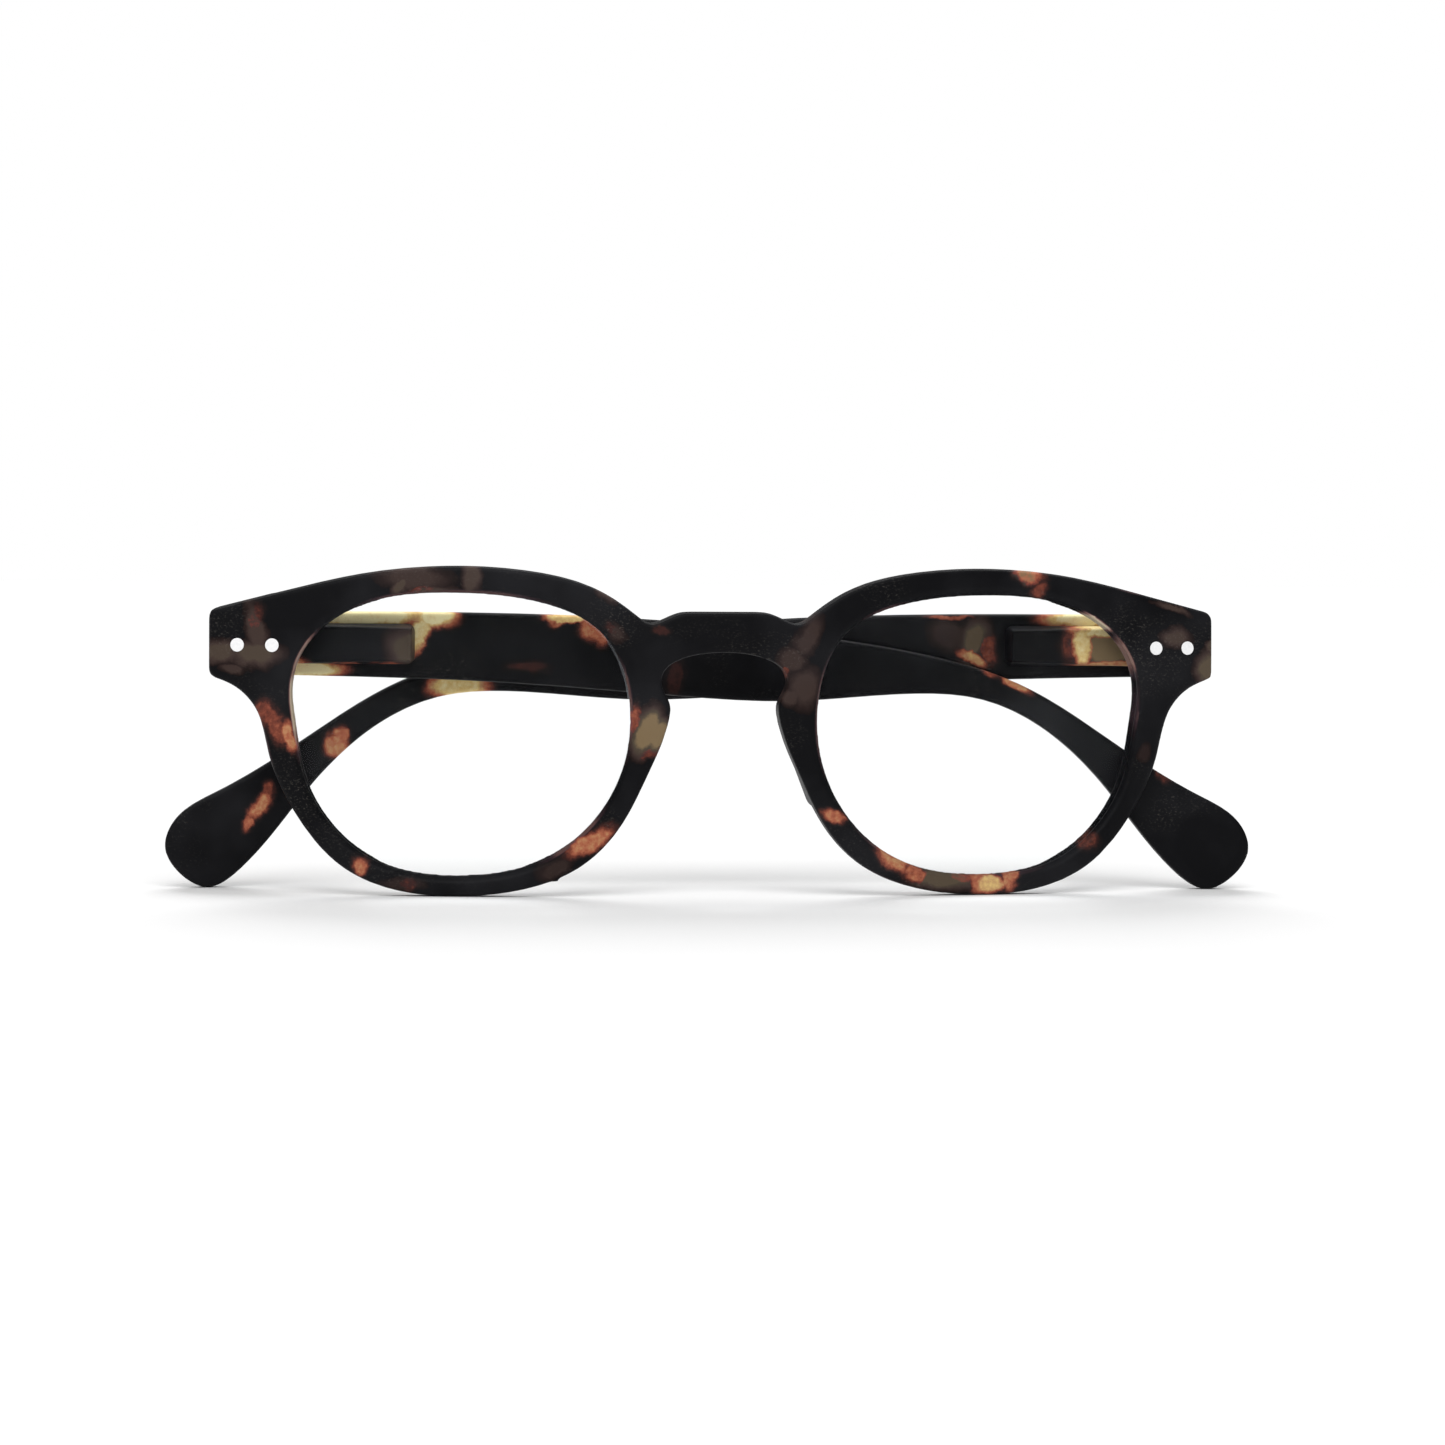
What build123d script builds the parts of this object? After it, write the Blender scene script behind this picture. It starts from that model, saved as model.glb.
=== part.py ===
"""Plastic reading glasses, folded, with spring hinges.

Millimetres. X is the width, with the wearer's right side at -X. The front faces -Y, the folded
temples lie behind it at +Y, and Z is up. The origin is on the floor, at the centre of the
folded glasses' footprint.

The front is drawn in a working frame with the middle of the bridge's front face at y = 0. Each
hinge assembly is drawn once, in a frame with its own axes: t runs from the hinge pin along the
temple, n points out of the temple's outer face, and z is up the pin.
"""

from build123d import *
from math import asin, cos, degrees, sin, sqrt
import os

# Front
FRONT_WIDTH = 140.0
END_X = FRONT_WIDTH / 2
WRAP_RADIUS = 288.0          # plan radius of the front face
BOW_RADIUS = 250.0           # radius of the front face from brow to cheek
RIM_THICKNESS = 4.0
MID_HEIGHT = 22.2            # height of the lens centres
BRIDGE_TOP = 39.15
BROW_TOP = 45.2
ARCH_TOP = 33.6              # underside of the bridge
END_TOP = 39.0
END_BOTTOM = 29.9
NOSE_SIDE = (8.15, 22.4)     # x and z where the rim's edge passes into the keyhole's
BRIDGE_HALF = 5.0            # flat top of the bridge
TOP_CORNER = 1.4             # corner radii of the end pieces
BOTTOM_CORNER = 1.2

# Lens openings, in the plane of each lens
LENS_X = 36.0
LENS_HALF_WIDTH = 23.1
LENS_HALF_HEIGHT = 19.3
LENS_THICKNESS = 1.8
GROOVE_DEPTH = 2.9           # from the lens plane back to the groove's root
GROOVE_CUT = 0.55
GROOVE_HALF_WIDTH = 0.85
BEVEL_SLOPE = 0.75           # width of the front bevel for each millimetre of depth
BEVEL_END = 1.75             # depth at which the front bevel meets the opening's wall
REAR_BEVEL = 1.6             # depth of the bevel at the opening's rear edge
REAR_BEVEL_SLOPE = 1.9 / 3
LENS_CROWN = 1.7             # from the groove's root forward to the middle of the lens's face
LENS_EDGE_RUN = 2.35         # depth of each flank of the lens's V edge
LENS_EDGE_INSET = 1.0        # how far each flank ends inside the opening's outline

# Nose pads, moulded on the rear of the rims
NOSE_PAD_X = 12.0
NOSE_PAD_Z = 18.2
NOSE_PAD_LENGTH = 13.0
NOSE_PAD_WIDTH = 3.3
NOSE_PAD_DEPTH = 5.4         # from inside the rim to the rear
NOSE_PAD_LEAN = 21           # degrees, along the rim's nasal edge
NOSE_PAD_ROUND = 1.3         # radius of the rear edge
NOSE_PAD_ROOT = 2.6          # y inside the rim where the pad starts

# End pieces and hinges
HINGE_X = 64.8
HINGE_Z = 34.2
PAD_Y = 12.2                 # flat rear face of each end piece
PAD_INNER_X = 60.5
PAD_BOTTOM = 28.0
PAD_DEPTH = 6.0              # length of the step down to the rim's thickness
PAD_ROUND = 1.0
END_DEPTH = 9.0              # thickness of each end piece behind the wrapped front face
PIN_TO_PAD = 1.5
PIN_TO_TEMPLE = 1.5
HINGE_Y = PAD_Y + PIN_TO_PAD
BARREL_RADIUS = 1.35
BARREL_HALF = 2.35
MIDDLE_HALF = 0.8
SCREW_RADIUS = 0.6
SCREW_HEAD_RADIUS = 1.1
SCREW_HEAD_HEIGHT = 0.6
SCREW_SLOT_WIDTH = 0.3
SCREW_SLOT_DEPTH = 0.25
CHAMFER = 0.15
RUNNING_CLEARANCE = 0.04
FIT_GAP = 0.01               # round the parts that are moulded or pressed into the front
OVERLAP = 0.1                # between shapes that join into one part
PLATE_THICKNESS = 0.7
PLATE_X = 64.1
PLATE_WIDTH = 6.4
ANCHOR_X = (62.2, 66.4)
ANCHOR_RADIUS = 0.55
ANCHOR_LENGTH = 1.2
RIVET_X = (61.5, 66.2)
RIVET_RADIUS = 0.93
RIVET_LENGTH = 1.6
RIVET_PROUD = 0.04

# Temples
TEMPLE_THICKNESS = 3.2
TEMPLE_LENGTH = 140.9        # from the hinge pin to the tip
FOLD_TILT = 1.6              # degrees each folded temple leans from the front's plane
BUTT = -1.2                  # front end of the temple, at its inner face
BUTT_RELIEF = 0.4            # extra room at the outer face, for flexing past open
TAPER_START = 30.0           # t where the inner face starts to slope outwards
TIP_CURVE = 108.0            # t where the tip starts to curve inwards
TIP_PLAN_END = 145.0         # t beyond the tip, where the plan view ends

# Spring hinge, along t
COVER_START = 4.9
COVER_END = 23.2
COVER_HALF_HEIGHT = 2.85
COVER_FACE = -1.8
COVER_CORNER = 1.2
COVER_ROUND = 0.5
TANG_END = 9.4
TANG_HALF = 0.8
SHOULDER_START = 9.6
SHOULDER_END = 10.6
CAVITY_END = 21.9
CAVITY_HALF = 1.25
ROD_RADIUS = 0.5
ROD_SOCKET = 3.0             # how deep the rod is fixed in the tang
ROD_PROUD = 0.5              # rod beyond the nut
NUT_RADIUS = 1.02            # across the hexagon's corners
NUT_START = 18.6
NUT_END = 20.4
SPRING_RADIUS = 0.8          # of the coil's centre line
WIRE_RADIUS = 0.18
SPRING_TURNS = 7
SLIDE_CLEARANCE = 0.05

SIDES = ("right", "left")


def front_depth(x, z):
    """y of the front face at a place on it, and its outward unit normal."""
    rise = z - MID_HEIGHT
    radius = WRAP_RADIUS - BOW_RADIUS + sqrt(BOW_RADIUS**2 - rise**2)
    turn = asin(x / radius)
    lean = asin(rise / BOW_RADIUS)
    normal = Vector(sin(turn) * cos(lean), -cos(turn) * cos(lean), sin(lean))
    return WRAP_RADIUS - radius * cos(turn), normal


def upright(*points):
    return [Vector(x, 0, z) for x, z in points]


def curve(points, start, end):
    """Curve through points, which leaves and arrives in the given directions."""
    directions = [Vector(start).normalized(), Vector(end).normalized()]
    return Spline(points, tangents=directions, tangent_scalars=(1, 1))


def smooth(*points, start, end):
    """Curve through points of an upright outline."""
    return curve(upright(*points), *upright(start, end))


def front_outline():
    """Right half of the outline, then its mirror image."""
    bridge = Line(upright((0, BRIDGE_TOP), (BRIDGE_HALF, BRIDGE_TOP)))
    brow = smooth(
        (BRIDGE_HALF, BRIDGE_TOP), (7.9, 38.3), (10.1, 37.6), (12.5, 38.95), (18.0, 42.4),
        (27.0, 44.65), (37.2, BROW_TOP), (49.0, 44.1), (60.4, 41.45), (END_X, END_TOP),
        start=(1, 0), end=(1, -0.25),
    )
    end = Line(upright((END_X, END_TOP), (END_X, END_BOTTOM)))
    rim = smooth(
        (END_X, END_BOTTOM), (66.5, 28.5), (63.6, 25.4), (61.8, 19.0), (58.5, 11.6), (51.7, 3.8),
        (44.0, 0.65), (36.0, 0), (27.5, 0.95), (19.1, 4.45), (13.8, 10.2), (10.3, 17.2), NOSE_SIDE,
        start=(-1, -0.28), end=(-0.3, 1),
    )
    keyhole = smooth(
        NOSE_SIDE, (7.45, 25.2), (7.5, 26.6), (8.25, 28.1), (8.7, 29.9), (8.3, 31.05), (6.4, 32.5),
        (3.4, 33.35), (0, ARCH_TOP),
        start=(-0.3, 1), end=(-1, 0),
    )
    edges = [bridge, brow, end, rim, keyhole]
    return edges + [edge.mirror(Plane.YZ) for edge in edges]


def front_face():
    """Flat outline of the front, with its corners rounded."""
    face = Face(Wire(front_outline()))
    corner_radius = {(END_X, END_TOP): TOP_CORNER, (END_X, END_BOTTOM): BOTTOM_CORNER}
    for (x, z), radius in corner_radius.items():
        corners = [
            v for v in face.vertices() if abs(abs(v.X) - x) < 0.01 and abs(v.Z - z) < 0.01
        ]
        face = face.fillet_2d(radius, corners)
    return face


def behind_front(thickness):
    """Everything from the bowed front face back to a cylinder that follows the wrap."""
    rise = 30.0
    edge_depth = BOW_RADIUS - sqrt(BOW_RADIUS**2 - rise**2)
    low, high = MID_HEIGHT - rise, MID_HEIGHT + rise
    outer = ThreePointArc((0, edge_depth, low), (0, 0, MID_HEIGHT), (0, edge_depth, high))
    rear = Polyline((0, edge_depth, high), (0, thickness, high), (0, thickness, low),
                    (0, edge_depth, low))
    section = Face(Wire([outer] + rear.edges()))
    turn = degrees(asin((END_X + 4) / WRAP_RADIUS))
    axis = Axis((0, WRAP_RADIUS, 0), (0, 0, 1))
    return revolve(section.rotate(axis, -turn), axis=axis, revolution_arc=2 * turn)


def nose_pad():
    """Ridge behind the left rim's nasal side, rounded at the rear."""
    slot = SlotOverall(NOSE_PAD_LENGTH, NOSE_PAD_WIDTH)
    outline = Plane.XZ.offset(-NOSE_PAD_ROOT) * Rot(0, 0, 90) * slot
    ridge = extrude(outline, NOSE_PAD_DEPTH, dir=(0, 1, 0))
    ridge = fillet(ridge.faces().sort_by(Axis.Y)[-1].edges(), NOSE_PAD_ROUND)
    return Pos(NOSE_PAD_X, 0, NOSE_PAD_Z) * Rot(0, -NOSE_PAD_LEAN, 0) * ridge


def front_envelope():
    """Depth of the front: an even wall, a flat-backed block at each end, and the nose pads."""
    size = 20.0
    block = Box(size, PAD_DEPTH, size, align=(Align.MIN, Align.MAX, Align.MIN))
    step = block.edges().filter_by(Axis.Z).group_by(Axis.X)[0].sort_by(Axis.Y)[-1]
    block = Pos(PAD_INNER_X, PAD_Y, PAD_BOTTOM) * fillet(step, PAD_ROUND)
    blocks = block + mirror(block, about=Plane.YZ)
    shell = behind_front(RIM_THICKNESS) + (behind_front(END_DEPTH) & blocks)
    shell += nose_pad()
    shell += mirror(nose_pad(), about=Plane.YZ)
    behind_ends = Box(160, 20, 120, align=(Align.CENTER, Align.MIN, Align.CENTER))
    return shell - Pos(0, PAD_Y, 0) * behind_ends


def lens_plane():
    """Plane of the left lens: local z points forward out of the lens."""
    turn = asin(LENS_X / WRAP_RADIUS)
    depth = WRAP_RADIUS - WRAP_RADIUS * cos(turn)
    return Plane((LENS_X, depth, MID_HEIGHT), x_dir=(cos(turn), sin(turn), 0),
                 z_dir=(sin(turn), -cos(turn), 0))


def lens_outline(depth, grow=0.0):
    """Outline of the opening at a depth behind the lens plane, grown all round."""
    points = (
        (23.1, 3.4), (20.4, 13.1), (13.0, 17.8), (1.4, 19.3), (-10.1, 18.2), (-19.0, 14.0),
        (-23.0, 3.4), (-20.2, -8.7), (-12.4, -16.5), (0.9, -19.4), (12.5, -16.9), (20.6, -8.0),
    )
    wide = 1 + grow / LENS_HALF_WIDTH
    tall = 1 + grow / LENS_HALF_HEIGHT
    plane = lens_plane()
    placed = [plane.from_local_coords(Vector(x * wide, z * tall, -depth)) for x, z in points]
    return Face(Wire(Spline(placed, periodic=True)))


def taper(front, rear):
    """Solid between two lens outlines, each given as depth and growth."""
    return loft([lens_outline(*front), lens_outline(*rear)], ruled=True)


def lens_opening():
    """The cutter for one lens opening: front bevel, wall, groove and rear bevel."""
    rear = RIM_THICKNESS + BEVEL_END
    through = taper((-4.0, 0.0), (rear + 4.0, 0.0))
    run = 3.0
    bevel = taper((BEVEL_END - run, run * BEVEL_SLOPE), (BEVEL_END, 0.0))
    rear_bevel = taper((rear - REAR_BEVEL, 0.0), (rear - REAR_BEVEL + run, run * REAR_BEVEL_SLOPE))
    groove_front = taper((GROOVE_DEPTH - GROOVE_HALF_WIDTH, 0.0), (GROOVE_DEPTH, GROOVE_CUT))
    groove_rear = taper((GROOVE_DEPTH, GROOVE_CUT), (GROOVE_DEPTH + GROOVE_HALF_WIDTH, 0.0))
    return through + bevel + rear_bevel + groove_front + groove_rear


def left_lens():
    """Meniscus with a V edge that sits in the rim's groove."""
    plane = lens_plane()
    centre = plane.from_local_coords(Vector(0, 0, -BOW_RADIUS - GROOVE_DEPTH + LENS_CROWN))
    shell = Sphere(BOW_RADIUS) - Sphere(BOW_RADIUS - LENS_THICKNESS)
    edge = GROOVE_CUT - SLIDE_CLEARANCE
    front = taper((GROOVE_DEPTH - LENS_EDGE_RUN, -LENS_EDGE_INSET), (GROOVE_DEPTH, edge))
    rear = taper((GROOVE_DEPTH, edge), (GROOVE_DEPTH + LENS_EDGE_RUN, -LENS_EDGE_INSET))
    return (front + rear) & (Pos(*centre) * shell)


def rivet(x, radius, length, proud):
    """Round pin set square to the front face."""
    y, normal = front_depth(x, HINGE_Z)
    outer = Vector(x, y, HINGE_Z) + normal * proud
    plane = Plane(outer, z_dir=-normal)
    return plane * Pos(0, 0, length / 2) * Cylinder(radius, length)


def left_leaf(clearance=0.0):
    """Plate anchored in the end piece, with an upper and a lower knuckle."""
    grow = 2 * clearance
    plate = Box(PLATE_WIDTH + grow, PLATE_THICKNESS + clearance, 2 * BARREL_HALF + grow,
                align=(Align.CENTER, Align.MAX, Align.CENTER))
    leaf = Pos(PLATE_X, PAD_Y, HINGE_Z) * plate
    for x in ANCHOR_X:
        anchor = Cylinder(ANCHOR_RADIUS + clearance, ANCHOR_LENGTH,
                          align=(Align.CENTER, Align.CENTER, Align.MIN))
        leaf += Pos(x, PAD_Y - PLATE_THICKNESS, HINGE_Z) * Rot(90, 0, 0) * anchor
    return leaf


def left_hinge_leaf():
    leaf = left_leaf()
    height = BARREL_HALF - MIDDLE_HALF - SLIDE_CLEARANCE
    for side in (-1, 1):
        middle = HINGE_Z + side * (BARREL_HALF - height / 2)
        leaf += Pos(HINGE_X, HINGE_Y, middle) * Cylinder(BARREL_RADIUS, height)
        web = Box(2 * BARREL_RADIUS, PIN_TO_PAD + OVERLAP, height,
                  align=(Align.CENTER, Align.MAX, Align.CENTER))
        leaf += Pos(HINGE_X, HINGE_Y, middle) * web
    return leaf - Pos(HINGE_X, HINGE_Y, HINGE_Z) * Cylinder(SCREW_RADIUS, 8)


def left_hinge_screw():
    """Slotted screw that is the hinge pin."""
    shank = Cylinder(SCREW_RADIUS, 2 * BARREL_HALF + 0.3,
                     align=(Align.CENTER, Align.CENTER, Align.MAX))
    head = Cylinder(SCREW_HEAD_RADIUS, SCREW_HEAD_HEIGHT,
                    align=(Align.CENTER, Align.CENTER, Align.MIN))
    head = chamfer(head.edges().group_by(Axis.Z)[-1], CHAMFER)
    slot = Box(3 * SCREW_HEAD_RADIUS, SCREW_SLOT_WIDTH, 2 * SCREW_SLOT_DEPTH)
    screw = shank + head - Pos(0, 0, SCREW_HEAD_HEIGHT) * slot
    return Pos(HINGE_X, HINGE_Y, HINGE_Z + BARREL_HALF) * screw


def front_frame():
    blank = Pos(0, -4, 0) * extrude(front_face(), amount=20, dir=(0, 1, 0))
    front = blank & front_envelope()
    cutters = [lens_opening(), left_leaf(clearance=FIT_GAP)]
    cutters += [rivet(x, RIVET_RADIUS + FIT_GAP, RIVET_LENGTH + 1, proud=1) for x in RIVET_X]
    for cutter in cutters:
        front -= cutter
        front -= mirror(cutter, about=Plane.YZ)
    return front


def temple_outline():
    """Side view of a temple, in t and z, with z measured from the hinge's middle height."""
    low = HINGE_Z
    top = smooth(
        (-2, 38.55 - low), (36, 38.45 - low), (54, 37.8 - low), (82, 35.1 - low), (97, 32.45 - low),
        (108.5, 28.7 - low), (122.8, 19.9 - low), (134.0, 13.2 - low), (139.4, 9.6 - low),
        (TEMPLE_LENGTH, 5.8 - low), (138.9, 2.0 - low), (135.0, -low), (130.4, 2.6 - low),
        (120.6, 14.3 - low), (111.5, 22.7 - low), (103.0, 26.6 - low), (93.5, 27.45 - low),
        (76, 26.35 - low), (60, 27.0 - low), (36, 28.8 - low), (-2, 29.9 - low),
        start=(1, 0), end=(-1, 0.02),
    )
    butt = Line(top @ 1, top @ 0)
    return Face(Wire([top, butt]))


def temple_plan():
    """Plan view of a temple: flat outer face, tapered inner face, tip curved towards the head."""
    inner = PIN_TO_TEMPLE
    outer = inner + TEMPLE_THICKNESS
    wedge = (outer - inner) * BUTT_RELIEF / TEMPLE_THICKNESS
    start = Line((BUTT, inner, 0), (BUTT + wedge, outer, 0))
    outer_flat = Line(start @ 1, (TIP_CURVE, outer, 0))
    outer_tip = curve([outer_flat @ 1, (126, outer - 0.5, 0), (TIP_PLAN_END, outer - 1.9, 0)],
                      (1, 0, 0), (1, -0.09, 0))
    tip = Line(outer_tip @ 1, (TIP_PLAN_END, inner - 1.3, 0))
    inner_tip = curve([tip @ 1, (126, inner + 0.15, 0), (TIP_CURVE, inner + 0.6, 0)],
                      (-1, 0.09, 0), (-1, 0, 0))
    taper_line = Line(inner_tip @ 1, (TAPER_START, inner, 0))
    inner_flat = Line(taper_line @ 1, start @ 0)
    return Face(Wire([start, outer_flat, outer_tip, tip, inner_tip, taper_line, inner_flat]))


def temple():
    side = Pos(0, -5, 0) * extrude(temple_outline(), amount=15, dir=(0, 1, 0))
    plan = Pos(0, 0, -40) * extrude(temple_plan(), amount=60, dir=(0, 0, 1))
    return side & plan


def flex_cover():
    """Housing of the spring, open on the side that is bonded to the temple."""
    length = COVER_END - COVER_START
    depth = PIN_TO_TEMPLE - COVER_FACE
    block = Box(length, depth, 2 * COVER_HALF_HEIGHT, align=(Align.MIN, Align.MIN, Align.CENTER))
    block = Pos(COVER_START, COVER_FACE, 0) * block
    block = fillet(block.edges().filter_by(Axis.Y).group_by(Axis.X)[-1], COVER_CORNER)
    block = fillet(block.faces().sort_by(Axis.Y)[0].edges(), COVER_ROUND)
    back = PIN_TO_TEMPLE
    channel = room(COVER_START - 1, SHOULDER_START, -TANG_HALF - SLIDE_CLEARANCE, back,
                   TANG_HALF + SLIDE_CLEARANCE)
    slot = room(SHOULDER_START, SHOULDER_END, -ROD_RADIUS - SLIDE_CLEARANCE, back,
                ROD_RADIUS + SLIDE_CLEARANCE)
    cavity = room(SHOULDER_END, CAVITY_END, -CAVITY_HALF + SLIDE_CLEARANCE, back, CAVITY_HALF)
    return block - channel - slot - cavity


def room(start, end, inner, outer, half_height):
    """Box-shaped room along t, from inner to outer in n."""
    box = Box(end - start, outer - inner, 2 * half_height,
              align=(Align.MIN, Align.MIN, Align.CENTER))
    return Pos(start, inner, 0) * box


def hinge_slider():
    """Middle knuckle and the square tang behind it."""
    barrel = Cylinder(BARREL_RADIUS, 2 * MIDDLE_HALF)
    tang = room(0, TANG_END, -TANG_HALF, TANG_HALF, TANG_HALF)
    bore = Cylinder(SCREW_RADIUS + RUNNING_CLEARANCE, 4)
    socket = along_t(TANG_END - ROD_SOCKET, TANG_END, ROD_RADIUS)
    return barrel + tang - bore - socket


def along_t(start, end, radius):
    rod = Cylinder(radius, end - start, align=(Align.CENTER, Align.CENTER, Align.MIN))
    return Pos(start, 0, 0) * Rot(0, 90, 0) * rod


def spring_rod():
    rod = along_t(TANG_END - ROD_SOCKET, NUT_END + ROD_PROUD, ROD_RADIUS)
    return chamfer(rod.edges().sort_by(Axis.X)[-1], CHAMFER)


def spring_nut():
    """Hexagonal nut on the rod's end."""
    hexagon = RegularPolygon(NUT_RADIUS, 6, rotation=30)
    nut = Pos(NUT_START, 0, 0) * Rot(0, 90, 0) * extrude(hexagon, NUT_END - NUT_START)
    return nut - along_t(NUT_START - 1, NUT_END + 1, ROD_RADIUS)


def flex_spring():
    length = NUT_START - SHOULDER_END - 2 * (WIRE_RADIUS + SLIDE_CLEARANCE)
    helix = Helix(length / SPRING_TURNS, length, SPRING_RADIUS)
    section = Plane(helix @ 0, z_dir=helix % 0) * Circle(WIRE_RADIUS)
    coil = sweep(section, path=helix)
    return Pos(SHOULDER_END + WIRE_RADIUS + SLIDE_CLEARANCE, 0, 0) * Rot(0, 90, 0) * coil


def on_hinge(part, side):
    """Place a part of a hinge assembly, folded, on its side of the front."""
    tilt = -FOLD_TILT if side == "right" else FOLD_TILT
    placed = Pos(-HINGE_X, HINGE_Y, HINGE_Z) * Rot(0, 0, tilt) * part
    return placed if side == "right" else mirror(placed, about=Plane.YZ)


def on_front(part, side):
    """Place a part drawn on the left end of the front."""
    return mirror(part, about=Plane.YZ) if side == "right" else part


def front_nodes(side):
    length = RIVET_LENGTH + RIVET_PROUD
    rivets = [rivet(x, RIVET_RADIUS, length, proud=RIVET_PROUD) for x in RIVET_X]
    return {
        f"{side}_lens": on_front(left_lens(), side),
        f"{side}_front_rivets": Compound([on_front(pin, side) for pin in rivets]),
        f"{side}_hinge_leaf": on_front(left_hinge_leaf(), side),
        f"{side}_hinge_screw": on_front(left_hinge_screw(), side),
    }


def temple_nodes(side):
    drawn = {
        "temple": temple(),
        "flex_cover": flex_cover(),
        "hinge_slider": hinge_slider(),
        "spring_rod": spring_rod(),
        "spring_nut": spring_nut(),
        "flex_spring": flex_spring(),
    }
    return {f"{side}_{name}": on_hinge(part, side) for name, part in drawn.items()}


def main():
    nodes = {"front_frame": front_frame()}
    for side in SIDES:
        nodes |= front_nodes(side) | temple_nodes(side)
    box = Compound([solid for part in nodes.values() for solid in part.solids()]).bounding_box()
    shift = Vector(-box.center().X, -box.center().Y, -box.min.Z)
    os.makedirs("parts", exist_ok=True)
    for name, part in nodes.items():
        placed = [solid.moved(Location(shift)) for solid in part.solids()]
        export_step(placed[0] if len(placed) == 1 else Compound(placed), f"parts/{name}.step")
    print("folded size", box.size)
    print("footprint shift", shift)
    for side, sign in (("right", -1), ("left", 1)):
        print(side, "hinge pin at", Vector(sign * HINGE_X, HINGE_Y, HINGE_Z) + shift)


main()
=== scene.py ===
"""Folded reading glasses in dark tortoise plastic, standing in a white studio.

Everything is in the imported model's frame, in metres. Constants in millimetres say so.
"""

from math import cos, radians, sin

import bmesh
import bpy
from mathutils import Matrix, Vector


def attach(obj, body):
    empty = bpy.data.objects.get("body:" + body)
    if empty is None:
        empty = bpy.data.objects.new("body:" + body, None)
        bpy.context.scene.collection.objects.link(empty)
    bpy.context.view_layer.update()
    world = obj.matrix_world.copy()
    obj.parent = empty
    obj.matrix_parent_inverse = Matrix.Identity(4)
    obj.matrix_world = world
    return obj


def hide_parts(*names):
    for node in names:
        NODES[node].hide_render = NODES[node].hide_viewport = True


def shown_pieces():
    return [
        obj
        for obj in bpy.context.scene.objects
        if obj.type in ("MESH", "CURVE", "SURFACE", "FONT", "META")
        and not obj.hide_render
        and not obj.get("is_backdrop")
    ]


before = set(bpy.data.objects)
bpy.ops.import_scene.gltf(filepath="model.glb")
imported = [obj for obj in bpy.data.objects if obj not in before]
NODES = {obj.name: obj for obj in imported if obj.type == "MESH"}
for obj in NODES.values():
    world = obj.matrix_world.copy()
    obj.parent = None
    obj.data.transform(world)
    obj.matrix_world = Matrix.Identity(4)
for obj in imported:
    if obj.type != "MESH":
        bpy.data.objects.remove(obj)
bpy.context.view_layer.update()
MM = 0.001

# Camera: aimed at the middle of the glasses, a little from the wearer's right and from above
AIM = Vector((-0.0004, -0.0108, 0.0241))
CAMERA_DISTANCE = 0.600
CAMERA_YAW = radians(7.0)
CAMERA_DROP = radians(3.0)
CAMERA_ROLL = radians(0.45)
CAMERA_LENS = 109.4

# Clouds of colour in the plastic: x, z, half width, half height in millimetres, lean in degrees,
# and strength. Strength 1 is cream in the middle, 0.8 khaki, 0.55 orange and 0.3 dark red.
FRONT_CLOUDS = (
    (-62.4, 25.0, 1.6, 1.8, -20, 0.40), (-60.8, 22.8, 1.5, 2.6, -25, 0.42),
    (-59.2, 21.8, 0.9, 2.4, -20, 0.60), (-49.5, 4.2, 1.3, 1.3, 0, 0.56), (-43.0, 1.6, 1.4, 1.0, 0, 0.30),
    (-18.4, 7.6, 3.6, 1.4, -32, 0.58), (42.8, 44.6, 2.3, 1.5, 15, 0.50), (44.4, 42.4, 1.2, 1.3, 30, 0.38),
    (8.6, 31.0, 0.6, 1.2, 0, 0.34),
    (15.2, 11.2, 1.8, 1.1, 20, 0.56), (23.6, 5.6, 3.0, 1.6, 45, 0.60), (26.8, 3.0, 1.9, 1.3, 20, 0.52),
    (37.6, 1.7, 2.4, 1.2, 0, 0.74), (36.0, 2.0, 1.7, 1.9, 0, 0.54), (40.6, 2.6, 1.1, 2.4, 10, 0.55),
    (33.6, 2.6, 2.2, 1.0, 0, 0.42), (-12.6, 24.6, 1.0, 2.2, 20, 0.44), (-10.2, 20.0, 2.2, 0.8, -20, 0.34),
    (-41.4, 41.9, 2.6, 0.6, -6, 0.33), (51.8, 7.4, 1.6, 1.5, 0, 0.32), (-63.8, 38.0, 1.2, 2.2, 10, 0.31),
    (-9.0, 36.8, 1.2, 0.7, 0, 0.26), (-15.6, 36.8, 1.3, 0.8, 30, 0.27), (-24.6, 37.4, 1.6, 1.0, 45, 0.28),
)
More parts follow.
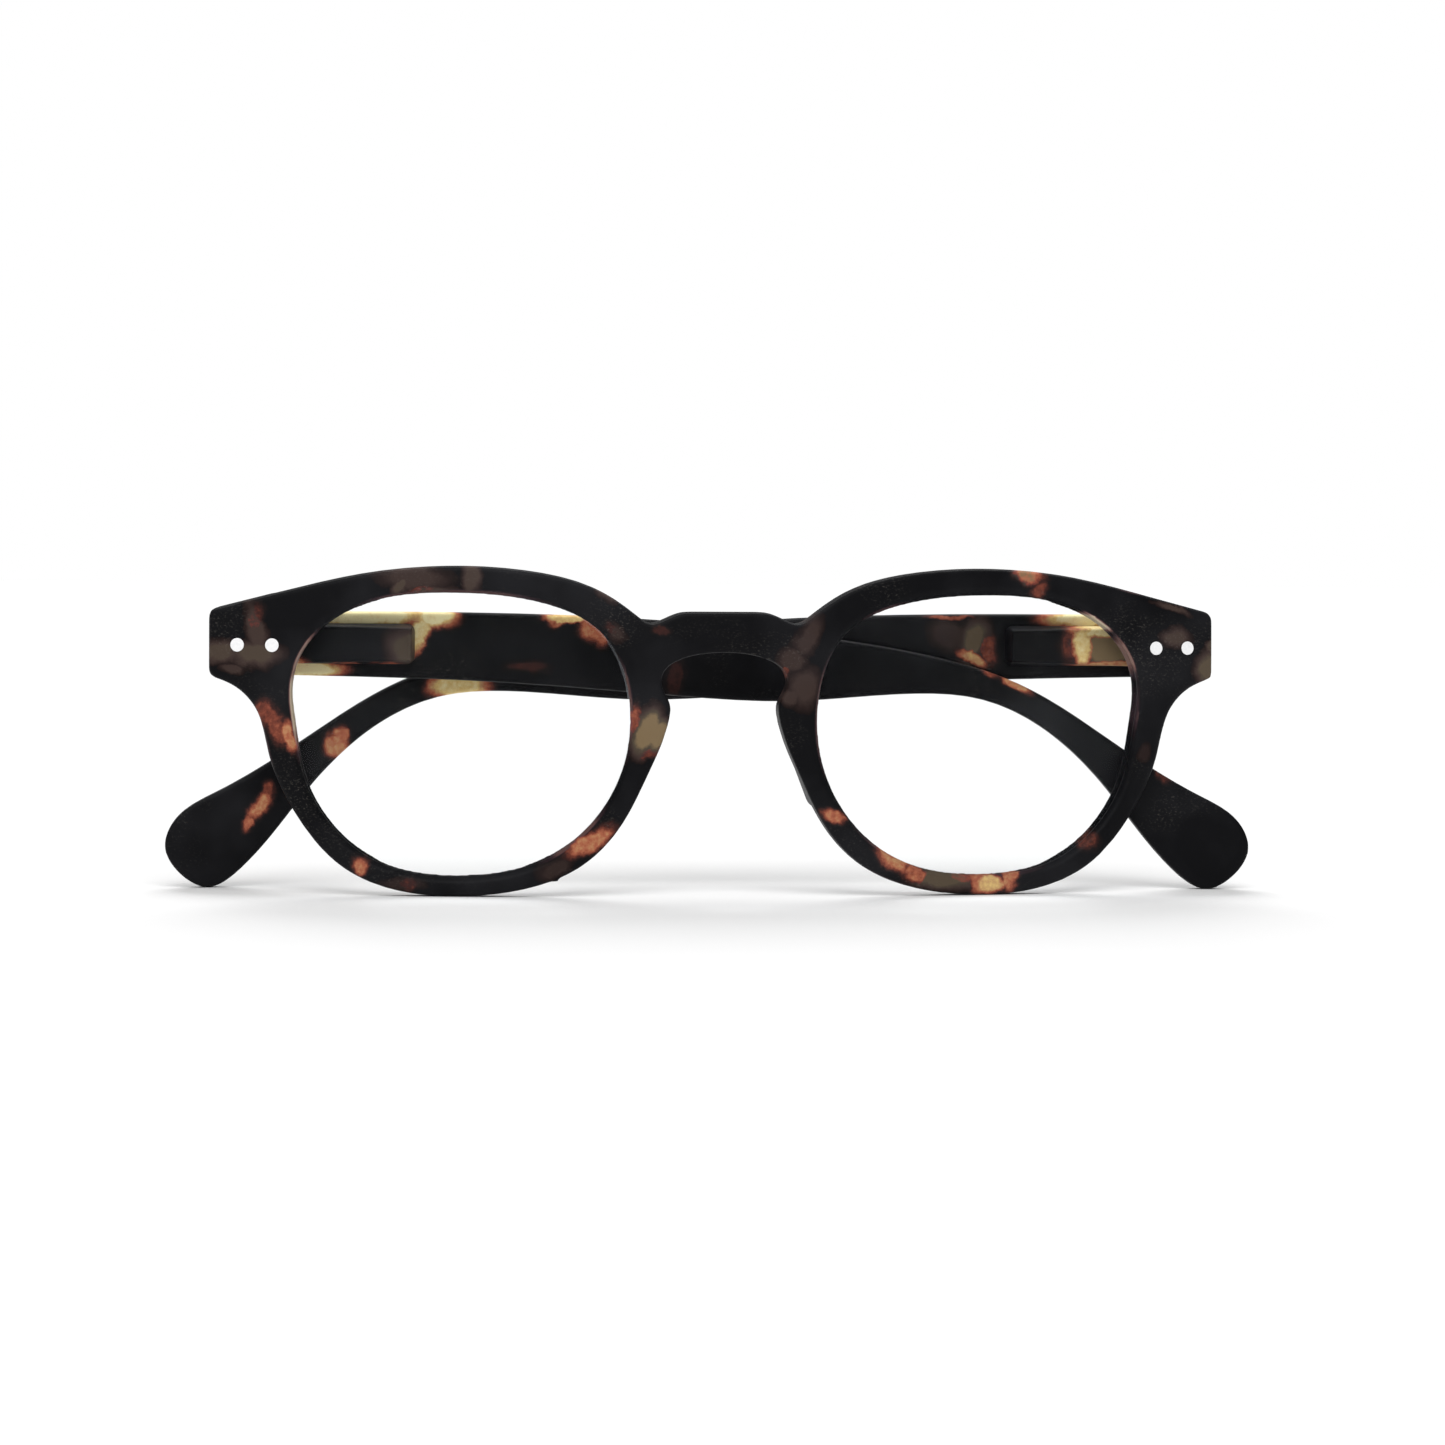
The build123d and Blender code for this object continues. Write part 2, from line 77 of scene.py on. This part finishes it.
# Greyer clouds that lie deeper. Strength 1 is olive in the middle, and 0.5 is brown.
FRONT_HAZES = (
    (-10.8, 22.8, 1.9, 3.3, 20, 1.00), (-9.2, 22.4, 1.4, 2.4, 20, 1.00), (-63.6, 36.0, 1.2, 4.2, -15, 0.56),
    (-68.6, 33.4, 2.4, 1.5, 0, 0.66), (-63.8, 33.0, 3.2, 1.7, 0, 0.70), (-67.0, 31.0, 1.6, 0.8, 0, 0.50),
    (-42.4, 43.6, 4.6, 1.7, 5, 0.50), (-40.4, 41.6, 3.6, 0.8, -4, 0.60), (-44.4, 42.4, 0.8, 1.6, 30, 0.66),
    (-34.8, 43.4, 1.2, 2.6, 0, 0.60), (-16.3, 41.4, 1.6, 0.9, 45, 0.46), (-14.8, 36.3, 1.4, 1.0, 30, 0.42),
    (63.8, 39.8, 2.6, 0.5, 20, 0.58), (64.6, 35.6, 2.0, 1.3, 10, 0.60), (69.6, 34.4, 0.8, 0.9, 0, 0.66),
    (69.4, 31.4, 1.9, 2.4, 0, 0.82), (11.4, 35.8, 1.5, 3.0, 30, 0.46), (9.2, 32.6, 1.8, 1.6, 10, 0.46),
    (11.0, 28.8, 2.2, 2.6, 10, 0.50), (9.0, 27.4, 1.2, 1.2, 0, 0.50), (31.0, 2.6, 4.6, 1.8, 0, 0.82),
    (59.9, 19.6, 1.2, 1.2, 0, 0.30), (42.6, 44.6, 1.9, 1.3, 15, 1.00), (-44.0, 1.6, 3.0, 1.0, 0, 0.36),
    (-23.0, 4.0, 2.6, 1.2, -30, 0.40),
)
# Painted glow: pale colour painted into the openings' bevels and walls, standing in for light that comes
# out of them
PAINTED_WALL_GLOW = (
    (-59.8, 25.5, 2.4, 6.5, 0, 0.92), (-58.4, 33.0, 2.4, 4.0, 25, 0.66), (53.5, 38.4, 5.0, 2.0, -32, 0.95),
    (58.0, 34.0, 2.2, 3.4, -15, 0.60), (60.0, 24.0, 1.6, 5.0, 0, 0.34), (12.6, 26.0, 2.4, 9.0, 0, 0.38),
    (-12.6, 27.0, 2.4, 7.0, 0, 0.40), (24.0, 5.5, 6.0, 3.0, 35, 0.38), (36.0, 3.0, 8.0, 2.0, 0, 0.34),
    (-38.0, 41.0, 14.0, 2.0, 0, 0.36), (-20.0, 8.0, 5.0, 3.0, -35, 0.42), (24.0, 38.0, 6.0, 2.5, 30, 0.34),
)
RIGHT_TEMPLE_CLOUDS = (
    (-49.0, 38.2, 9.0, 1.7, 0, 1.00), (-39.0, 38.2, 3.0, 1.5, 0, 1.00), (-41.0, 35.8, 1.3, 3.6, 30, 0.90),
    (-37.2, 37.9, 1.8, 1.3, 30, 0.54), (-56.6, 30.6, 5.0, 1.3, 0, 1.00), (-59.0, 31.6, 1.8, 0.8, 0, 0.60),
    (-20.4, 38.0, 3.4, 0.8, 0, 0.80), (-17.2, 36.4, 1.9, 1.7, 30, 0.56), (-21.6, 37.4, 1.6, 0.8, -20, 0.50),
    (-15.8, 35.8, 1.2, 2.0, 0, 0.50), (-5.4, 29.6, 1.4, 3.0, 10, 0.24), (38.6, 31.2, 2.6, 0.7, 30, 0.44),
    (42.6, 29.0, 2.6, 0.8, 30, 0.60), (63.9, 16.3, 1.4, 1.0, 40, 0.34), (-26.0, 31.0, 3.0, 0.8, 0, 0.26),
)
LEFT_TEMPLE_CLOUDS = (
    (-35.4, 28.2, 4.0, 2.0, 0, 0.84), (-38.4, 28.6, 1.7, 1.5, -35, 0.54), (-52.2, 19.8, 1.8, 2.0, -30, 0.6),
    (-51.6, 21.4, 1.2, 1.0, 0, 0.56), (-62.8, 11.6, 1.2, 2.4, 35, 0.60), (-64.4, 9.0, 0.9, 1.6, 30, 0.50),
    (-61.6, 13.8, 1.0, 1.2, 30, 0.42), (54.0, 38.0, 6.8, 1.5, 0, 1.00), (36.9, 32.4, 2.4, 0.8, 25, 0.70),
    (39.4, 33.6, 1.2, 2.4, 0, 0.40), (33.6, 38.2, 3.6, 0.4, 0, 0.44), (-27.0, 29.6, 4.0, 0.7, 0, 0.34),
)
LEFT_TEMPLE_HAZES = ((37.2, 34.8, 1.9, 3.2, 20, 0.84), (33.8, 35.6, 3.0, 2.2, 20, 0.42))
RIGHT_COVER_CLOUDS = ((-48.0, 31.3, 9.0, 0.4, 0, 0.46), (-58.6, 31.6, 2.2, 1.0, 0, 0.58))
RIGHT_COVER_HAZES = ((-42.8, 33.8, 2.8, 2.6, 0, 0.72),)
LEFT_COVER_CLOUDS = (
    (56.0, 36.4, 5.4, 0.9, 0, 0.90), (52.0, 34.4, 1.3, 3.2, 0, 0.84), (50.2, 34.4, 1.2, 2.6, 0, 0.34),
    (56.0, 31.5, 5.4, 0.6, 0, 0.64),
)
LEFT_COVER_HAZES = ((56.0, 34.0, 5.4, 3.0, 0, 0.98),)

# A cloud fades from its full strength to nothing at this many half widths. The steeper it fades, the
# wider its even middle.
CLOUD_REACH = 1.5
CLOUD_STEEPNESS = 1.7
# Millimetres from front to back: much more than any piece, so that a cloud runs right through
CLOUD_DEPTH = 1000.0
# Outlines of clouds wander by this noise: its scale per millimetre, and its reach in millimetres
WANDER_SCALE = 0.35
WANDER_REACH = 2.2

# Colours by strength, from the plain plastic to the middle of a cloud
CLOUD_COLOURS = (
    (0.04, (0.0032, 0.0032, 0.0042)), (0.17, (0.010, 0.006, 0.006)), (0.30, (0.050, 0.016, 0.013)),
    (0.42, (0.20, 0.050, 0.030)), (0.54, (0.42, 0.125, 0.066)), (0.66, (0.52, 0.27, 0.125)),
    (0.80, (0.74, 0.52, 0.20)), (1.00, (0.92, 0.81, 0.46)),
)
HAZE_COLOURS = (
    (0.04, (0, 0, 0)), (0.30, (0.020, 0.011, 0.010)), (0.55, (0.052, 0.033, 0.028)),
    (0.80, (0.085, 0.064, 0.044)), (1.00, (0.215, 0.150, 0.080)),
)
# Colours of the painted glow on the openings' walls, by strength
PAINTED_GLOW_COLOURS = (
    (0.05, (0, 0, 0)), (0.30, (0.030, 0.016, 0.020)), (0.55, (0.20, 0.10, 0.085)),
    (0.80, (0.46, 0.34, 0.27)), (1.00, (0.60, 0.50, 0.34)),
)
BLOOM_COLOUR = (0.008, 0.008, 0.009)
LINT_COLOUR = (0.50, 0.46, 0.40, 1)
LINT_STRENGTH = 0.10
BLACK = (0, 0, 0)
WHITE = (1, 1, 1)

# Skins in millimetres: softened edge and voxel; then the smoothing passes
FRONT_SKIN = (0.45, 0.22, 8)
TEMPLE_SKIN = (0.35, 0.22, 16)
COVER_SKIN = (0.2, 0.12, 6)
# Before an edge is softened, points this close together become one, shorter edges than SHORT_EDGE
# collapse, and faces that meet at less than FLAT_ANGLE are joined. Edges over SHARP_ANGLE are softened.
SAME_POINT = 0.002 * MM
SHORT_EDGE = 0.12 * MM
FLAT_ANGLE = radians(0.05)
SHARP_ANGLE = radians(40)
# Edges this close to the middle of a rivet stay sharp, so that the skin meets the rivet
RIVET_MARGIN = 1.6 * MM

# What the room gives the glasses. The camera sees the room at strength 1.
ROOM_STRENGTH = 0.36
TOP_LIGHT_WATTS = 3.6
FRONT_LIGHT_WATTS = 2.0
BACK_SUN_STRENGTH = 2.0
FRONT_SUN_STRENGTH = 1.55
# Half the floor's side, in metres
FLOOR_HALF = 2.0


def shader_node(tree, kind, inputs=None, **settings):
    """A new node with its settings. An input is given a value, or a socket to link from."""
    made = tree.nodes.new(kind)
    for name, value in settings.items():
        setattr(made, name, value)
    for key, value in (inputs or {}).items():
        if isinstance(value, bpy.types.NodeSocket):
            tree.links.new(value, made.inputs[key])
        else:
            made.inputs[key].default_value = value
    return made


def math_node(tree, operation, *values):
    made = shader_node(tree, "ShaderNodeMath", dict(enumerate(values)), operation=operation)
    return made.outputs[0]


def ramp(tree, factor, *stops):
    """Colour ramp through (position, colour) stops."""
    made = shader_node(tree, "ShaderNodeValToRGB", {0: factor})
    elements = made.color_ramp.elements
    while len(elements) < len(stops):
        elements.new(1.0)
    for element, (position, colour) in zip(elements, stops):
        element.position = position
        element.color = (*colour, 1.0)
    return made.outputs[0]


def millimetres(tree):
    """The piece's own coordinates, in millimetres."""
    coordinates = shader_node(tree, "ShaderNodeTexCoord").outputs["Object"]
    scaled = shader_node(tree, "ShaderNodeVectorMath", {0: coordinates, "Scale": 1.0 / MM},
                         operation="SCALE")
    return scaled.outputs[0]


def noise(tree, place, scale, detail=2.0, roughness=0.5):
    made = shader_node(tree, "ShaderNodeTexNoise",
                       {"Vector": place, "Scale": scale, "Detail": detail, "Roughness": roughness})
    return made.outputs["Fac"]


def new_material(name):
    """Material with a Principled shader. Returns the material, its tree and the shader."""
    material = bpy.data.materials.new(name)
    material.use_nodes = True
    tree = material.node_tree
    return material, tree, tree.nodes["Principled BSDF"]


def cloud_field(tree, place, clouds):
    """How strongly each point lies in one of the clouds."""
    field = 0.0
    for x, z, wide, high, lean, strength in clouds:
        mapped = shader_node(
            tree, "ShaderNodeMapping",
            {"Vector": place, "Location": (x, 0, z), "Rotation": (0, radians(lean), 0),
             "Scale": (wide * CLOUD_REACH, CLOUD_DEPTH, high * CLOUD_REACH)},
            vector_type="TEXTURE")
        ball = shader_node(tree, "ShaderNodeTexGradient", {0: mapped.outputs[0]}, gradient_type="SPHERICAL")
        depth = math_node(tree, "MULTIPLY", ball.outputs["Fac"], CLOUD_STEEPNESS)
        depth = math_node(tree, "MINIMUM", depth, 1.0)
        field = math_node(tree, "MAXIMUM", field, math_node(tree, "MULTIPLY", depth, strength))
    return field


def painted_glow_mask(tree):
    """Mask for the painted glow: 1 on bevels and on surfaces that face sideways, 0 on the front and back
    faces.
    """
    normal = shader_node(tree, "ShaderNodeNewGeometry").outputs["Normal"]
    facing = shader_node(tree, "ShaderNodeSeparateXYZ", {0: normal}).outputs["Y"]
    sideways = math_node(tree, "SUBTRACT", 0.90, math_node(tree, "ABSOLUTE", facing))
    return shader_node(tree, "ShaderNodeClamp", {0: math_node(tree, "MULTIPLY", sideways, 4.0)}).outputs[0]


def mix_colours(tree, blend, factor, first, second):
    mixed = shader_node(tree, "ShaderNodeMix", {"Factor": factor, "A": first, "B": second},
                        data_type="RGBA", blend_type=blend)
    return mixed.outputs["Result"]


def wander(tree, place):
    """The place, moved by up to half the reach, so that outlines aren't regular."""
    drift = shader_node(tree, "ShaderNodeTexNoise",
                        {"Vector": place, "Scale": WANDER_SCALE, "Detail": 4.0, "Roughness": 0.6})
    centred = shader_node(tree, "ShaderNodeVectorMath", {0: drift.outputs["Color"], 1: (0.5, 0.5, 0.5)},
                          operation="SUBTRACT")
    shift = shader_node(tree, "ShaderNodeVectorMath", {0: centred.outputs[0], "Scale": WANDER_REACH},
                        operation="SCALE")
    return shader_node(tree, "ShaderNodeVectorMath", {0: place, 1: shift.outputs[0]}).outputs[0]


def lint_flecks(tree, place):
    """Fine pale flecks that gather in places on the matt skin."""
    area = ramp(tree, noise(tree, place, 0.10, 2.0), (0.50, BLACK), (0.70, WHITE))
    stretched = shader_node(tree, "ShaderNodeMapping",
                            {"Vector": place, "Rotation": (0, 0.5, 0), "Scale": (0.6, 1.0, 1.0)})
    grain = noise(tree, stretched.outputs[0], 4.2, 4.0, 0.7)
    flecks = ramp(tree, grain, (0.55, BLACK), (0.68, WHITE))
    return math_node(tree, "MULTIPLY", area, flecks)


def tortoise_colour(tree, place, clouds, hazes, painted_wall_glow):
    """Almost black, with clouds over deeper hazes, and with a glow painted on the openings' walls as though
    light came out of them.
    """
    wandering = wander(tree, place)
    field = cloud_field(tree, wandering, clouds)
    grain = math_node(tree, "MULTIPLY_ADD", noise(tree, place, 1.2, 4.0, 0.65), 0.9, -0.45)
    field = math_node(tree, "MULTIPLY_ADD", math_node(tree, "MINIMUM", field, 0.5), grain, field)
    colour = ramp(tree, field, *CLOUD_COLOURS)
    if hazes:
        haze = ramp(tree, cloud_field(tree, wandering, hazes), *HAZE_COLOURS)
        colour = mix_colours(tree, "LIGHTEN", 1.0, colour, haze)
    # Painted glow: the openings' sideways faces are coloured paler where the glow clouds lie, standing in
    # for light
    if painted_wall_glow:
        lit = math_node(tree, "MULTIPLY", cloud_field(tree, wandering, painted_wall_glow), painted_glow_mask(tree))
        colour = mix_colours(tree, "LIGHTEN", 1.0, colour, ramp(tree, lit, *PAINTED_GLOW_COLOURS))
    bloom = ramp(tree, noise(tree, place, 0.07, 3.0), (0.44, BLACK), (0.66, BLOOM_COLOUR))
    return mix_colours(tree, "ADD", 1.0, colour, bloom)


def tortoise(name, clouds, hazes=(), painted_wall_glow=()):
    """Soft-touch plastic, almost black, with khaki clouds that are orange at their edges."""
    material, tree, shader = new_material(name)
    place = millimetres(tree)
    colour = tortoise_colour(tree, place, clouds, hazes, painted_wall_glow)
    lint = lint_flecks(tree, place)
    faint_lint = math_node(tree, "MULTIPLY", lint, LINT_STRENGTH)
    colour = mix_colours(tree, "MIX", faint_lint, colour, LINT_COLOUR)
    tree.links.new(colour, shader.inputs["Base Color"])
    patina = noise(tree, place, 0.9, 5.0, 0.65)
    tree.links.new(math_node(tree, "MULTIPLY_ADD", patina, 0.24, 0.32), shader.inputs["Roughness"])
    shader.inputs["Specular IOR Level"].default_value = 0.085
    skin = math_node(tree, "MULTIPLY_ADD", lint, 0.6, noise(tree, place, 5.0, 4.0))
    bump = shader_node(tree, "ShaderNodeBump", {"Height": skin, "Strength": 0.12, "Distance": 0.06 * MM})
    tree.links.new(bump.outputs[0], shader.inputs["Normal"])
    return material


def metal(name, colour, roughness, streaks):
    """Satin metal with fine streaks along x. Streaks is their noise's scale."""
    material, tree, shader = new_material(name)
    place = millimetres(tree)
    drawn = shader_node(tree, "ShaderNodeMapping", {"Vector": place, "Scale": (0.4, 6.0, 6.0)})
    grain = noise(tree, drawn.outputs[0], streaks, 4.0, 0.6)
    shade = ramp(tree, grain, (0.3, tuple(0.86 * c for c in colour)), (0.7, colour))
    tree.links.new(shade, shader.inputs["Base Color"])
    brushed = math_node(tree, "MULTIPLY_ADD", grain, 0.16, roughness - 0.08)
    tree.links.new(brushed, shader.inputs["Roughness"])
    shader.inputs["Metallic"].default_value = 1.0
    bump = shader_node(tree, "ShaderNodeBump", {"Height": grain, "Strength": 0.12, "Distance": 0.03 * MM})
    tree.links.new(bump.outputs[0], shader.inputs["Normal"])
    return material


def rivet_material():
    """Face of a rivet, painted plain white and not metal: the white stands in for the satin metal's
    reflection of the white room, a painted reflection.
    """
    material, tree, shader = new_material("rivet_white_painted_reflection")
    place = millimetres(tree)
    grain = noise(tree, place, 3.0, 3.0)
    # Painted reflection: near-white base colour in place of the metal's reflection
    shade = ramp(tree, grain, (0.35, (0.94, 0.94, 0.95)), (0.65, (1.0, 1.0, 1.0)))
    tree.links.new(shade, shader.inputs["Base Color"])
    tree.links.new(math_node(tree, "MULTIPLY_ADD", grain, 0.10, 0.42), shader.inputs["Roughness"])
    return material


def lens_material():
    """Clear lens that reflects faintly and lets the light through."""
    material, tree, shader = new_material("lens_clear")
    tree.nodes.remove(shader)
    clear = shader_node(tree, "ShaderNodeBsdfTransparent", {"Color": (0.985, 0.99, 0.99, 1)})
    place = millimetres(tree)
    haze = math_node(tree, "MULTIPLY_ADD", noise(tree, place, 0.15, 2.0), 0.03, 0.02)
    gloss = shader_node(tree, "ShaderNodeBsdfGlossy", {"Color": (0.9, 0.95, 1.0, 1), "Roughness": haze})
    edge = shader_node(tree, "ShaderNodeFresnel", {"IOR": 1.12})
    mixed = shader_node(tree, "ShaderNodeMixShader",
                        {0: edge.outputs[0], 1: clear.outputs[0], 2: gloss.outputs[0]})
    tree.links.new(mixed.outputs[0], tree.nodes["Material Output"].inputs["Surface"])
    return material


def rivet_centres():
    """Middles of the rivets' heads, seen from the front: (x, z)."""
    centres = []
    for side in ("right", "left"):
        points = [vertex.co for vertex in NODES[f"{side}_front_rivets"].data.vertices]
        middle = sum(point.x for point in points) / len(points)
        for group in ([p for p in points if p.x < middle], [p for p in points if p.x > middle]):
            centres.append(sum((Vector((p.x, p.z)) for p in group), Vector((0, 0))) / len(group))
    return centres


def mark_edges(shell, keep_off):
    """Gives a bevel weight to the sharp outer edges that aren't near a rivet."""
    weight = shell.edges.layers.float.new("bevel_weight_edge")
    for edge in shell.edges:
        middle = (edge.verts[0].co + edge.verts[1].co) / 2
        apart = min(((Vector((middle.x, middle.z)) - centre).length for centre in keep_off), default=1.0)
        sharp = edge.is_manifold and edge.is_convex and edge.calc_face_angle() > SHARP_ANGLE
        edge[weight] = 1.0 if sharp and apart > RIVET_MARGIN else 0.0


def marked_copy(name, node, keep_off):
    """The CAD node's mesh without its short edges, with the edges to soften marked."""
    mesh = bpy.data.meshes.new(name)
    shell = bmesh.new()
    shell.from_mesh(NODES[node].data)
    bmesh.ops.remove_doubles(shell, verts=shell.verts, dist=SAME_POINT)
    bmesh.ops.dissolve_degenerate(shell, edges=shell.edges, dist=SHORT_EDGE)
    bmesh.ops.dissolve_limit(shell, angle_limit=FLAT_ANGLE, verts=shell.verts, edges=shell.edges)
    mark_edges(shell, keep_off)
    shell.to_mesh(mesh)
    shell.free()
    return mesh


def rounded(node, body, skin, material, keep_off=()):
    """A smooth skin that replaces a CAD node. Its edges are softened, but not near the points kept off."""
    edge, voxel, passes = skin
    name = f"{node.removesuffix('_frame')}_skin"
    piece = bpy.data.objects.new(name, marked_copy(name, node, keep_off))
    bpy.context.scene.collection.objects.link(piece)
    bevel = piece.modifiers.new("edges", "BEVEL")
    bevel.width = edge * MM
    bevel.segments = 3
    bevel.limit_method = "WEIGHT"
    bevel.use_clamp_overlap = False
    remesh = piece.modifiers.new("skin", "REMESH")
    remesh.mode = "VOXEL"
    remesh.voxel_size = voxel * MM
    remesh.use_smooth_shade = True
    soften = piece.modifiers.new("soften", "SMOOTH")
    soften.factor = 0.5
    soften.iterations = passes
    evaluated = piece.evaluated_get(bpy.context.evaluated_depsgraph_get())
    mesh = bpy.data.meshes.new_from_object(evaluated)
    piece.modifiers.clear()
    piece.data = mesh
    mesh.materials.clear()
    mesh.materials.append(material)
    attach(piece, body)
    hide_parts(node)


def plastic_pieces():
    front = tortoise("tortoise_front", FRONT_CLOUDS, FRONT_HAZES, PAINTED_WALL_GLOW)
    rounded("front_frame", "front", FRONT_SKIN, front, rivet_centres())
    looks = {
        "right_temple": (RIGHT_TEMPLE_CLOUDS,),
        "left_temple": (LEFT_TEMPLE_CLOUDS, LEFT_TEMPLE_HAZES),
        "right_flex_cover": (RIGHT_COVER_CLOUDS, RIGHT_COVER_HAZES),
        "left_flex_cover": (LEFT_COVER_CLOUDS, LEFT_COVER_HAZES),
    }
    for node, clouds in looks.items():
        side, kind = node.split("_", 1)
        skin = TEMPLE_SKIN if kind == "temple" else COVER_SKIN
        rounded(node, f"{side}_arm", skin, tortoise(f"tortoise_{node}", *clouds))


def paint_hardware():
    """Materials of the CAD nodes that show as they are."""
    steel = metal("hinge_nickel", (0.66, 0.64, 0.60), 0.30, 1.2)
    wire = metal("spring_wire", (0.50, 0.50, 0.52), 0.26, 2.0)
    paints = {
        "front_rivets": rivet_material(), "lens": lens_material(), "hinge_leaf": steel,
        "hinge_screw": steel, "hinge_slider": steel, "spring_rod": steel, "spring_nut": steel,
        "flex_spring": wire,
    }
    for side in ("right", "left"):
        for kind, material in paints.items():
            mesh = NODES[f"{side}_{kind}"].data
            mesh.materials.clear()
            mesh.materials.append(material)


def add_camera():
    forward = Vector((sin(CAMERA_YAW) * cos(CAMERA_DROP), cos(CAMERA_YAW) * cos(CAMERA_DROP),
                      -sin(CAMERA_DROP)))
    level = Vector((cos(CAMERA_YAW), -sin(CAMERA_YAW), 0))
    upward = level.cross(forward)
    right = cos(CAMERA_ROLL) * level + sin(CAMERA_ROLL) * upward
    upward = cos(CAMERA_ROLL) * upward - sin(CAMERA_ROLL) * level
    data = bpy.data.cameras.new("camera")
    data.lens = CAMERA_LENS
    data.clip_start = 0.01
    camera = bpy.data.objects.new("camera", data)
    camera.matrix_world = (Matrix.Translation(AIM - CAMERA_DISTANCE * forward)
                           @ Matrix((right, upward, -forward)).transposed().to_4x4())
    bpy.context.scene.collection.objects.link(camera)
    bpy.context.scene.camera = camera


def add_light(data, name, place, aim, receivers):
    """Puts a light in place, aimed, shining only on the receivers."""
    light = bpy.data.objects.new(name, data)
    light.location = place
    light.rotation_euler = (Vector(aim) - Vector(place)).to_track_quat("-Z", "Y").to_euler()
    light.light_linking.receiver_collection = receivers
    bpy.context.scene.collection.objects.link(light)


def softbox(name, place, wide, high, power, receivers):
    """Rectangular light in watts, aimed at the glasses."""
    data = bpy.data.lights.new(name, "AREA")
    data.shape = "RECTANGLE"
    data.size = wide
    data.size_y = high
    data.energy = power
    add_light(data, name, place, (0, 0, 0.02), receivers)


def floor_sun(name, azimuth, height, spread, strength, receivers):
    """Even light on the floor, in degrees. Azimuth 0 shines from the front and 180 from behind."""
    data = bpy.data.lights.new(name, "SUN")
    data.energy = strength
    data.angle = radians(spread)
    turn = radians(azimuth)
    rise = radians(height)
    place = Vector((sin(turn) * cos(rise), -cos(turn) * cos(rise), sin(rise)))
    add_light(data, name, place, (0, 0, 0), receivers)


def studio(floor_plane):
    """White room: the camera sees it white, and it lights the glasses more gently."""
    world = bpy.data.worlds.new("studio")
    bpy.context.scene.world = world
    world.use_nodes = True
    tree = world.node_tree
    gentle = tree.nodes["Background"]
    gentle.inputs["Color"].default_value = (1, 1, 1, 1)
    gentle.inputs["Strength"].default_value = ROOM_STRENGTH
    white = shader_node(tree, "ShaderNodeBackground", {"Color": (1, 1, 1, 1), "Strength": 1.0})
    seen = shader_node(tree, "ShaderNodeLightPath").outputs["Is Camera Ray"]
    mixed = shader_node(tree, "ShaderNodeMixShader", {0: seen, 1: gentle.outputs[0], 2: white.outputs[0]})
    tree.links.new(mixed.outputs[0], tree.nodes["World Output"].inputs["Surface"])
    on_floor = bpy.data.collections.new("lit_by_floor_suns")
    on_floor.objects.link(floor_plane)
    on_glasses = bpy.data.collections.new("lit_by_softboxes")
    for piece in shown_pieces():
        on_glasses.objects.link(piece)
    softbox("top", (0, 0.12, 0.55), 0.7, 0.3, TOP_LIGHT_WATTS, on_glasses)
    softbox("front_fill", (-0.15, -0.55, 0.45), 0.5, 0.3, FRONT_LIGHT_WATTS, on_glasses)
    floor_sun("back_sun", 180, 38, 40, BACK_SUN_STRENGTH, on_floor)
    floor_sun("front_sun", 0, 55, 45, FRONT_SUN_STRENGTH, on_floor)
    bpy.context.scene.view_settings.view_transform = "Standard"


def floor():
    """Pale floor under the rims and the temple tips."""
    mesh = bpy.data.meshes.new("floor")
    corners = [(x * FLOOR_HALF, y * FLOOR_HALF, 0) for x, y in ((-1, -1), (1, -1), (1, 1), (-1, 1))]
    mesh.from_pydata(corners, [], [(0, 1, 2, 3)])
    material, tree, shader = new_material("floor_white")
    place = millimetres(tree)
    shade = ramp(tree, noise(tree, place, 0.02, 2.0), (0.3, (0.91, 0.91, 0.91)), (0.7, (0.92, 0.92, 0.92)))
    tree.links.new(shade, shader.inputs["Base Color"])
    shader.inputs["Roughness"].default_value = 0.9
    shader.inputs["Specular IOR Level"].default_value = 0.0
    mesh.materials.append(material)
    plane = bpy.data.objects.new("floor", mesh)
    bpy.context.scene.collection.objects.link(plane)
    plane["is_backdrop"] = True
    return plane


add_camera()
plastic_pieces()
paint_hardware()
studio(floor())
